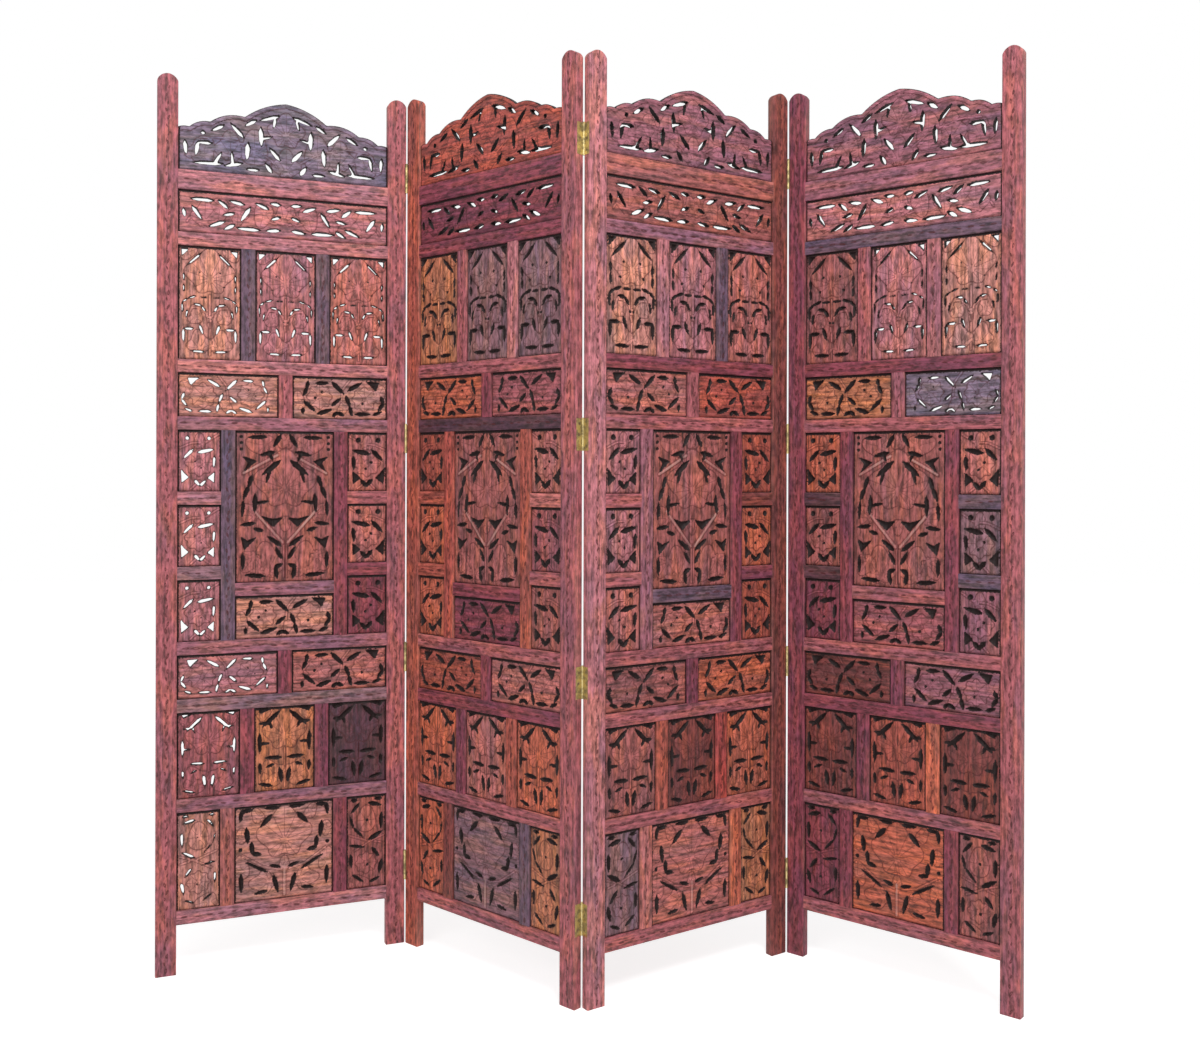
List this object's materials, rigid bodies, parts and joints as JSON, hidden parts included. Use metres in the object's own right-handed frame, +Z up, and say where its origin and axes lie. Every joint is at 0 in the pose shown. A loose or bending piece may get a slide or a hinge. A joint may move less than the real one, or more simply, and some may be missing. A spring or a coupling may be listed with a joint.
{
  "type": "folding screen",
  "caption": "Free-standing folding screen of carved, pierced wooden leaves: stiles and rails hold fretwork boards under an arched crest, joined zigzag by brass butt hinges.",
  "frame": {"origin": "centre of the floor area the standing zigzag covers, at floor level", "axes": "+X along the screen's width to the right seen from its front, +Y to its back, +Z up"},
  "size_m": [1.7058, 0.3906, 1.8289],
  "materials": {
    "frame_wood": "stained and chip-carved, satin",
    "board_wood": "stained, carved and pierced, satin",
    "hinge_brass": "aged, dull",
    "screw_brass": "aged, dull"
  },
  "bodies": {
    "leaf_1": {"leaf_1_left_stile": "frame_wood", "leaf_1_right_stile": "frame_wood", "leaf_1_rails": "frame_wood", "leaf_1_muntins": "frame_wood", "leaf_1_upright_boards": "board_wood", "leaf_1_wide_boards": "board_wood", "leaf_1_small_boards": "board_wood", "leaf_1_centre_board": "board_wood", "leaf_1_bottom_boards": "board_wood", "leaf_1_frieze": "board_wood", "leaf_1_crest": "board_wood", "leaf_1_hinge_screws": "screw_brass", "hinge_12_plates_leaf_1": "hinge_brass"},
    "leaf_2": {"leaf_2_left_stile": "frame_wood", "leaf_2_right_stile": "frame_wood", "leaf_2_rails": "frame_wood", "leaf_2_muntins": "frame_wood", "leaf_2_upright_boards": "board_wood", "leaf_2_wide_boards": "board_wood", "leaf_2_small_boards": "board_wood", "leaf_2_centre_board": "board_wood", "leaf_2_bottom_boards": "board_wood", "leaf_2_frieze": "board_wood", "leaf_2_crest": "board_wood", "leaf_2_hinge_screws": "screw_brass", "hinge_12_plates_leaf_2": "hinge_brass", "hinge_12_pins": "hinge_brass", "hinge_23_plates_leaf_2": "hinge_brass", "hinge_23_pins": "hinge_brass"},
    "leaf_3": {"leaf_3_left_stile": "frame_wood", "leaf_3_right_stile": "frame_wood", "leaf_3_rails": "frame_wood", "leaf_3_muntins": "frame_wood", "leaf_3_upright_boards": "board_wood", "leaf_3_wide_boards": "board_wood", "leaf_3_small_boards": "board_wood", "leaf_3_centre_board": "board_wood", "leaf_3_bottom_boards": "board_wood", "leaf_3_frieze": "board_wood", "leaf_3_crest": "board_wood", "leaf_3_hinge_screws": "screw_brass", "hinge_23_plates_leaf_3": "hinge_brass", "hinge_34_plates_leaf_3": "hinge_brass", "hinge_34_pins": "hinge_brass"},
    "leaf_4": {"leaf_4_left_stile": "frame_wood", "leaf_4_right_stile": "frame_wood", "leaf_4_rails": "frame_wood", "leaf_4_muntins": "frame_wood", "leaf_4_upright_boards": "board_wood", "leaf_4_wide_boards": "board_wood", "leaf_4_small_boards": "board_wood", "leaf_4_centre_board": "board_wood", "leaf_4_bottom_boards": "board_wood", "leaf_4_frieze": "board_wood", "leaf_4_crest": "board_wood", "leaf_4_hinge_screws": "screw_brass", "hinge_34_plates_leaf_4": "hinge_brass"}
  },
  "joints": [
    {"name": "fold_12", "type": "hinge", "parent": "leaf_2", "child": "leaf_1", "pos_m": [-0.37513, 0.17699, 0], "axis": [0, 0, 1], "range_deg": [-64.2, 115.8]},
    {"name": "fold_23", "type": "hinge", "parent": "leaf_2", "child": "leaf_3", "pos_m": [0.01832, -0.14662, 0], "axis": [0, 0, 1], "range_deg": [-76.7, 103.3]},
    {"name": "fold_34", "type": "hinge", "parent": "leaf_3", "child": "leaf_4", "pos_m": [0.44779, 0.12738, 0], "axis": [0, 0, 1], "range_deg": [-105.6, 74.4]}
  ]
}
